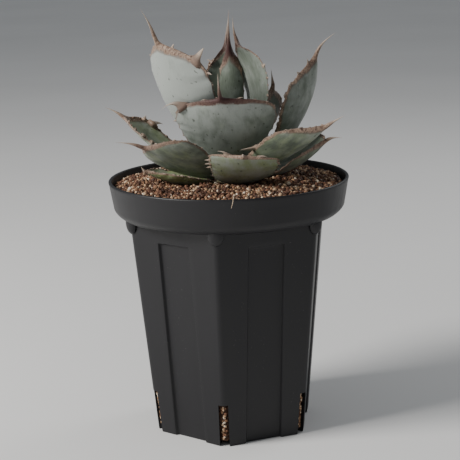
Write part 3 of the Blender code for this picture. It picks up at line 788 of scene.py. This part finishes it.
def inside_rings(template):
    """Over the lip and down the inside to the floor."""
    rings = []
    for step in range(9):
        turn = math.pi * step / 8
        radius = RIM_RADIUS - WALL / 2 + WALL / 2 * math.cos(turn)
        rings.append(round_ring(radius, POT_HEIGHT - LIP + LIP * math.sin(turn), template))
    for share in COLLAR_INSIDE:
        rings.append(round_ring(collar_outside(share) - WALL, SEAT + share * COLLAR_HEIGHT, template))
    ledge, inner_top = SEAT + FLOOR, PANEL_TOP + WALL
    rings.append(round_ring(BODY_TOP - LEDGE_INSET, ledge, template))
    rings.append([(x, y, ledge) for x, y, _ in body_ring(SEAT, WALL)])
    rings += [body_ring(inner_top, WALL), body_ring(inner_top - 0.3 * MM, WALL, PANEL_DEPTH)]
    rings.append(body_ring(FLOOR, WALL, PANEL_DEPTH))
    return rings


def mesh_from_rings(name, rings):
    mesh = bpy.data.meshes.new(name)
    mesh.from_pydata([p for ring in rings for p in ring], [], capped_faces(len(rings), len(rings[0])))
    return mesh


seat_ring = body_ring(SEAT)
POT_RINGS = outside_rings(seat_ring) + inside_rings(seat_ring)
print("rings of the pot:", len(POT_RINGS))

# %% Tools for the lugs and the slits
LUG_HALF_WIDTH, LUG_DROP, LUG_REACH, LUG_BURIED = 4.2 * MM, 6.0 * MM, 3.2 * MM, 1.0 * MM
LUG_END = 0.997  # of its drop, where a small flat closes the dome


def lug_rings():
    """A half dome under the collar, its back in the wall."""
    levels = [-LUG_DROP * math.sin(math.pi / 2 * step / 9) for step in range(1, 9)]
    turns = [math.pi * (step / 16 - 0.5) for step in range(17)]
    rings = []
    for level in [LUG_BURIED, 0.0, *levels, -LUG_END * LUG_DROP]:
        size = math.sqrt(1 - (min(level, 0.0) / LUG_DROP) ** 2)
        reach, half_width = size * LUG_REACH, size * LUG_HALF_WIDTH
        rings.append([(reach * math.cos(a), half_width * math.sin(a), level) for a in turns])
    return rings


def outward_faces(mesh):
    """Turns the faces of a closed mesh outward."""
    form = bmesh.new()
    form.from_mesh(mesh)
    bmesh.ops.recalc_face_normals(form, faces=form.faces)
    form.to_mesh(mesh)
    form.free()


def tools_round(name, mesh, radius, z):
    """A tool object with the same mesh at each corner."""
    outward_faces(mesh)
    tools = []
    for side in range(6):
        direction = corner_angle(side)
        tool = new_object(f"{name}_{side}", mesh)
        tool.location = (radius * math.cos(direction), radius * math.sin(direction), z)
        tool.rotation_euler = (0, 0, direction)
        tools.append(tool)
    return tools


def slit_mesh():
    form = bmesh.new()
    bmesh.ops.create_cube(form, size=1.0)
    bmesh.ops.scale(form, vec=(2 * SLIT_REACH, SLIT_WIDTH, 2 * SLIT_HEIGHT), verts=form.verts)
    mesh = bpy.data.meshes.new("slit")
    form.to_mesh(mesh)
    form.free()
    return mesh


print("slit in mm:", round(SLIT_WIDTH / MM, 1), "by", round(SLIT_HEIGHT / MM, 1))


# %% Join the lugs and cut the slits
def make_pot(finish):
    body = new_object("pot_blank", mesh_from_rings("pot_blank", POT_RINGS))
    lugs = tools_round("lugs", mesh_from_rings("lug", lug_rings()), BODY_TOP - 0.9 * WALL, SEAT)
    slits = tools_round("slits", slit_mesh(), BODY_FOOT, 0.0)
    outward_faces(body.data)
    for tools, operation in ((lugs, "UNION"), (slits, "DIFFERENCE")):
        for tool in tools:
            step = body.modifiers.new(tool.name, "BOOLEAN")
            step.operation = operation
            step.solver = "EXACT"
            step.object = tool
    depsgraph = bpy.context.evaluated_depsgraph_get()
    mesh = bpy.data.meshes.new_from_object(body.evaluated_get(depsgraph))
    mesh.name = "slit_pot_shell"
    mesh.materials.clear()
    mesh.materials.append(finish.material)
    mesh.shade_smooth()
    mesh.set_sharp_from_angle(angle=math.radians(38))
    for spare in (body, *lugs, *slits):
        bpy.data.objects.remove(spare, do_unlink=True)
    pot = new_object("slit_pot_shell", mesh)
    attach(pot, "root")
    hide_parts("slit_pot")
    return pot


print("corners with a lug and a slit:", round(math.pi / HALF_SIDE))

# %% [markdown]
# ## Black moulded plastic
# Matte black is never one flat value: the mould leaves a very fine texture, handling leaves faint smudges
# that change the gloss, and watering leaves dust and tiny dried splashes. The colour stays nearly black;
# the roughness carries most of the story.

# %% The pot's finish
def plastic_finish():
    look = Finish("matte black plastic", specular_ior_level=0.42)
    where = look.place()
    fine = look.cloud(where, 5200.0, 2.0, 0.6)
    smudge = look.cloud(look.stretch(where, (1.0, 1.0, 0.35)), 55.0, 4.0, 0.6)
    streak = look.cloud(look.stretch(where, (1.0, 1.0, 0.06)), 420.0, 3.0, 0.6)
    speck = look.cloud(where, 1300.0, 1.0, 0.4)
    dust = look.between(speck, 0.72, 0.80) * look.between(smudge, 0.45, 0.7)
    film = look.between(streak * 0.5 + smudge * 0.5, 0.42, 0.75)
    base = look.blend(film * 0.35, (0.0085, 0.0083, 0.0100), (0.019, 0.0185, 0.022))
    look.set(base_color=look.blend(dust * 0.55, base, (0.16, 0.15, 0.135)))
    look.set(roughness=0.44 + film * 0.12 + (fine - 0.5) * 0.08)
    look.bump(fine * 0.5 + speck * 0.1, 0.05 * MM, 0.5)
    return look


pot = make_pot(plastic_finish())
print("pot faces:", len(pot.data.polygons))

# %% [markdown]
# ## The potting mix
# The mix is gritty: grains of pumice and baked clay, mostly one to two and a half millimetres, tan, cream and
# reddish brown. The solid from the fixed model is what lies under them and gets a dark crumbly finish. On
# top of it thousands of separate grains are laid by dropping a line onto it at spread-out places, with no
# grain set where a leaf or the pot already is. Grains also fill the slits at the pot's foot.

# %% Finishes of the mix and of the crown
def grit_finish():
    look = Finish("loose grit", specular_ior_level=0.4)
    where = look.place()
    tone, wet = look.attribute("tone"), look.attribute("wet")
    coat = look.ramp(tone, (
        (0.0, (0.035, 0.016, 0.010)), (0.28, (0.10, 0.042, 0.024)), (0.52, (0.22, 0.105, 0.058)),
        (0.74, (0.44, 0.27, 0.145)), (0.90, (0.66, 0.49, 0.33)), (1.0, (0.84, 0.73, 0.58))))
    mottle = look.cloud(where, 900.0, 3.0, 0.6)
    coat = look.blend(look.between(mottle, 0.35, 0.75) * 0.45, coat, (0.16, 0.08, 0.05))
    look.set(base_color=look.blend(wet * 0.55, coat, (0.03, 0.015, 0.01)))
    look.set(roughness=0.85 - wet * 0.35)
    look.bump(look.cloud(where, 2600.0, 2.0, 0.6), 0.18 * MM, 0.7)
    return look


def bed_finish():
    look = Finish("bed of grit", specular_ior_level=0.3)
    where = look.place()
    lump = look.node("ShaderNodeTexVoronoi", {"feature": "F1"}, {"Vector": where, "Scale": 620.0})
    crumb = look.cloud(where, 800.0, 4.0, 0.6)
    look.set(base_color=look.ramp(crumb, (
        (0.3, (0.018, 0.009, 0.006)), (0.52, (0.07, 0.033, 0.02)), (0.72, (0.20, 0.11, 0.065)))))
    look.set(roughness=0.8 + (crumb - 0.5) * 0.2)
    look.bump(crumb * 0.5 - lump * 0.9, 1.0 * MM, 0.9)
    return look


def bark_finish():
    look = Finish("old leaf scars", specular_ior_level=0.3)
    where = look.place()
    rings = look.cloud(look.stretch(where, (1.0, 1.0, 5.0)), 260.0, 4.0, 0.6)
    look.set(base_color=look.ramp(rings, (
        (0.3, (0.06, 0.045, 0.025)), (0.55, (0.17, 0.15, 0.085)), (0.75, (0.30, 0.28, 0.18)))))
    look.set(roughness=0.75 + (rings - 0.5) * 0.2)
    look.bump(rings, 0.6 * MM, 0.8)
    return look


def dress(node, finish):
    """A better material on a piece of the fixed model."""
    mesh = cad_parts[node].data
    mesh.materials.clear()
    mesh.materials.append(finish.material)


dress("potting_mix", bed_finish())
dress("root_crown", bark_finish())
print("faces of the bed of grit:", len(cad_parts["potting_mix"].data.polygons))

# %% Shapes of the grains
NUGGET_KINDS = 14


def nugget_shapes():
    """Unit grains: a sphere of 42 points, squeezed and dented in a different way each time."""
    form = bmesh.new()
    bmesh.ops.create_icosphere(form, subdivisions=2, radius=1.0)
    ball = np.array([v.co for v in form.verts])
    faces = np.array([[v.index for v in f.verts] for f in form.faces])
    form.free()
    shapes = []
    for kind in range(NUGGET_KINDS):
        squeeze = chance.uniform(0.62, 1.0, 3)
        dents = chance.normal(size=(5, 3))
        dents /= np.linalg.norm(dents, axis=1)[:, None]
        radius = np.ones(len(ball))
        for dent in dents:
            radius -= 0.30 * np.clip(ball @ dent - 0.45, 0, 1)
        radius += 0.07 * chance.normal(size=len(ball))
        shapes.append(ball * radius[:, None] * squeeze)
    return shapes, faces


NUGGETS, NUGGET_FACES = nugget_shapes()


def turn_matrix():
    axis = chance.normal(size=3)
    return np.array(Matrix.Rotation(chance.uniform(0, math.tau), 3, Vector(axis).normalized()))


def grain_piece(name, spots, finish):
    """One mesh of many grains. Each spot is a centre, a radius, a tone and a wetness."""
    points, faces, tones, wets = [], [], [], []
    for number, (centre, radius, tone, wet) in enumerate(spots):
        shape = NUGGETS[number % len(NUGGETS)] @ turn_matrix().T * radius + np.asarray(centre)
        faces.append(NUGGET_FACES + len(shape) * number)
        points.append(shape)
        tones += [tone] * len(shape)
        wets += [wet] * len(shape)
    values = {"tone": tones, "wet": wets}
    return new_piece(name, np.vstack(points), np.vstack(faces).tolist(), finish, values)


print("grain shapes:", len(NUGGETS), "points in each:", len(NUGGETS[0]))

# %% Lay the top grains
GRAINS = 5200  # places tried
WALL_CLEAR = 1.3 * MM
SCATTER = 0.5 * MM
GOLDEN = math.pi * (3 - math.sqrt(5))


def tree_of(thing):
    mesh = thing.data
    return BVHTree.FromPolygons([v.co for v in mesh.vertices], [tuple(f.vertices) for f in mesh.polygons])


leaf_trees = [tree_of(leaf) for leaf in leaves]
mix_tree = tree_of(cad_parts["potting_mix"])
crown_tree = tree_of(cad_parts["root_crown"])
DOWN = Vector((0, 0, -1))


def clear_of(trees, point, reach):
    for tree in trees:
        hit = tree.find_nearest(point, reach)
        if hit[0] is not None:
            return False
    return True


def random_tone():
    draw = chance.uniform()
    if draw < 0.34:
        return chance.uniform(0.0, 0.3)
    if draw < 0.70:
        return chance.uniform(0.3, 0.6)
    return chance.uniform(0.6, 0.86) if draw < 0.92 else chance.uniform(0.86, 1.0)


def top_grains():
    reach = RIM_RADIUS - WALL - WALL_CLEAR
    spots = []
    for number in range(GRAINS):
        radius = reach * math.sqrt((number + 0.5) / GRAINS)
        turn = number * GOLDEN
        x = radius * math.cos(turn) + chance.normal() * SCATTER
        y = radius * math.sin(turn) + chance.normal() * SCATTER
        hit = mix_tree.ray_cast(Vector((x, y, POT_HEIGHT + 20 * MM)), DOWN)
        size = chance.uniform(0.62, 1.0) * MM if chance.uniform() < 0.6 else chance.uniform(1.0, 1.4) * MM
        tone, lift = random_tone(), chance.uniform(-0.2, 0.55)
        wall_gap = RIM_RADIUS - WALL - math.hypot(x, y)
        if hit[0] is None or wall_gap < 1.05 * size or hit[0].z < POT_HEIGHT - 10 * MM:
            continue
        centre = hit[0] + Vector((0, 0, lift * size))
        if clear_of(leaf_trees, centre, 0.75 * size) and clear_of([crown_tree], centre, 0.5 * size):
            spots.append((centre, size, tone, 1.0 if chance.uniform() < 0.18 else 0.0))
    return spots


grit = grit_finish()
grains = grain_piece("top_grains", top_grains(), grit)
print("top grains:", len(grains.data.vertices) // len(NUGGETS[0]))

# %% Fill the slits
SLIT_GRAINS = 30


def slit_grains():
    spots = []
    for side in range(6):
        direction = corner_angle(side)
        outward = Vector((math.cos(direction), math.sin(direction), 0))
        sideways = Vector((-outward.y, outward.x, 0))
        for number in range(SLIT_GRAINS):
            step = number + chance.uniform(0, 0.8)
            z = FLOOR + 1.2 * MM + (SLIT_HEIGHT - FLOOR - 2.2 * MM) * step / SLIT_GRAINS
            offset = sideways * (chance.uniform(-1.0, 1.0) * 1.1 * MM)
            start = outward * (70 * MM) + offset + Vector((0, 0, z))
            hit = mix_tree.ray_cast(start, -outward)
            size = chance.uniform(0.7, 1.1) * MM
            if hit[0] is not None:
                spots.append((hit[0] - outward * (0.15 * size), size, chance.uniform(0.35, 1.0), 0.0))
    return spots


slit_fill = grain_piece("slit_grains", slit_grains(), grit)
print("slit grains:", len(slit_fill.data.vertices) // len(NUGGETS[0]))

# %% [markdown]
# A dry root hair lies over the front of the rim. It is a thin tube that tapers along a bent line: out of the
# grains, over the lip, and down a few millimetres outside.

# %% The root hair
ROOT_PLACE = 2.0 * MM  # to the right of the middle
ROOT_RADIUS = 0.28 * MM
ROOT_ROWS, ROOT_SIDES = 25, 6
ROOT_LINE = (  # in mm from the rim's top: to the right, inward and up
    (0.6, 6.0, -0.6), (0.3, 3.0, 0.7), (0.0, 0.6, 1.0),
    (-0.2, -0.7, 0.0), (-0.6, -0.9, -2.0), (-1.2, -1.0, -3.9))


def root_hair(finish):
    lip = -math.sqrt(RIM_RADIUS**2 - ROOT_PLACE**2)
    line = [(ROOT_PLACE + x * MM, lip + y * MM, POT_HEIGHT + z * MM) for x, y, z in ROOT_LINE]
    path = curve(list(range(len(line))), line, np.linspace(0, len(line) - 1, ROOT_ROWS))
    points = []
    for number, centre in enumerate(path):
        ahead = path[min(number + 1, len(path) - 1)] - path[max(number - 1, 0)]
        ahead /= np.linalg.norm(ahead)
        beside = np.cross(ahead, (1.0, 0.0, 0.0))
        beside /= np.linalg.norm(beside)
        third = np.cross(ahead, beside)
        radius = ROOT_RADIUS * (1 - 0.7 * number / len(path))
        for side in range(ROOT_SIDES):
            turn = math.tau * side / ROOT_SIDES
            points.append(centre + radius * (math.cos(turn) * beside + math.sin(turn) * third))
    values = {"tone": [0.93] * len(points), "wet": [0.0] * len(points)}
    return new_piece("root_hair", points, capped_faces(len(path), ROOT_SIDES), finish, values)


hair = root_hair(grit)
print("root hair points:", len(hair.data.vertices))

# %% [markdown]
# ## Floor, light and camera
# The floor is a plain pale sheet. A large soft lamp high on the left is the main light, as in a studio with
# one window, and a weak one behind on the right picks out the dark side. The camera has a long lens, stands
# a little higher than the plant and looks down by about twelve and a half degrees.

# %% Floor
FLOOR_HALF = 9.0  # far wider than the camera sees


def make_floor():
    look = Finish("pale floor", specular_ior_level=0.2)
    where = look.place()
    cloud = look.cloud(where, 3.0, 3.0, 0.5)
    look.set(base_color=look.ramp(cloud, ((0.3, (0.78, 0.775, 0.765)), (0.7, (0.82, 0.815, 0.805)))))
    look.set(roughness=0.8 + (cloud - 0.5) * 0.05)
    mesh = bpy.data.meshes.new("floor")
    corners = [(-FLOOR_HALF, -FLOOR_HALF, 0), (FLOOR_HALF, -FLOOR_HALF, 0)]
    corners += [(FLOOR_HALF, FLOOR_HALF, 0), (-FLOOR_HALF, FLOOR_HALF, 0)]
    mesh.from_pydata(corners, [], [(0, 1, 2, 3)])
    mesh.materials.append(look.material)
    floor = new_object("floor", mesh)


make_floor()
print("floor in metres:", 2 * FLOOR_HALF)


# %% Lights
def lamp(name, place, target, size, power, colour=(1.0, 1.0, 1.0)):
    data = bpy.data.lights.new(name, "AREA")
    data.shape = "DISK"
    data.size = size
    data.energy = power
    data.color = colour
    thing = new_object(name, data)
    thing.location = place
    thing.rotation_euler = (Vector(target) - Vector(place)).to_track_quat("-Z", "Y").to_euler()


world = bpy.data.worlds.new("studio")
world.use_nodes = True
world.node_tree.nodes["Background"].inputs["Color"].default_value = (0.82, 0.86, 0.9, 1.0)
world.node_tree.nodes["Background"].inputs["Strength"].default_value = 0.30
bpy.context.scene.world = world
AIM = (0.0, 0.0, 0.12)
lamp("key", (-1.0, -0.42, 0.8), AIM, 0.5, 22.0, (1.0, 0.98, 0.95))
lamp("rim", (0.7, 0.6, 0.7), AIM, 0.5, 2.0)
print("lamps:", len(bpy.data.lights))

# %% Camera
CAMERA_PLACE = (0, -0.70005, 0.25639)
PITCH, ROLL = math.radians(-12.6), math.radians(-1.55)
LENS = 111.3  # mm, on a sensor 36 mm wide


def make_camera():
    forward = Vector((0, math.cos(PITCH), math.sin(PITCH)))
    level = forward.cross(Vector((0, 0, 1))).normalized()
    rise = level.cross(forward)
    right = level * math.cos(ROLL) + rise * math.sin(ROLL)
    up = rise * math.cos(ROLL) - level * math.sin(ROLL)
    data = bpy.data.cameras.new("camera")
    data.sensor_width = 36.0
    data.lens = LENS
    camera = new_object("camera", data)
    turned = Matrix((right, up, -forward)).transposed().to_4x4()
    camera.matrix_world = Matrix.Translation(CAMERA_PLACE) @ turned
    bpy.context.scene.camera = camera


make_camera()
print("lens in mm:", LENS)
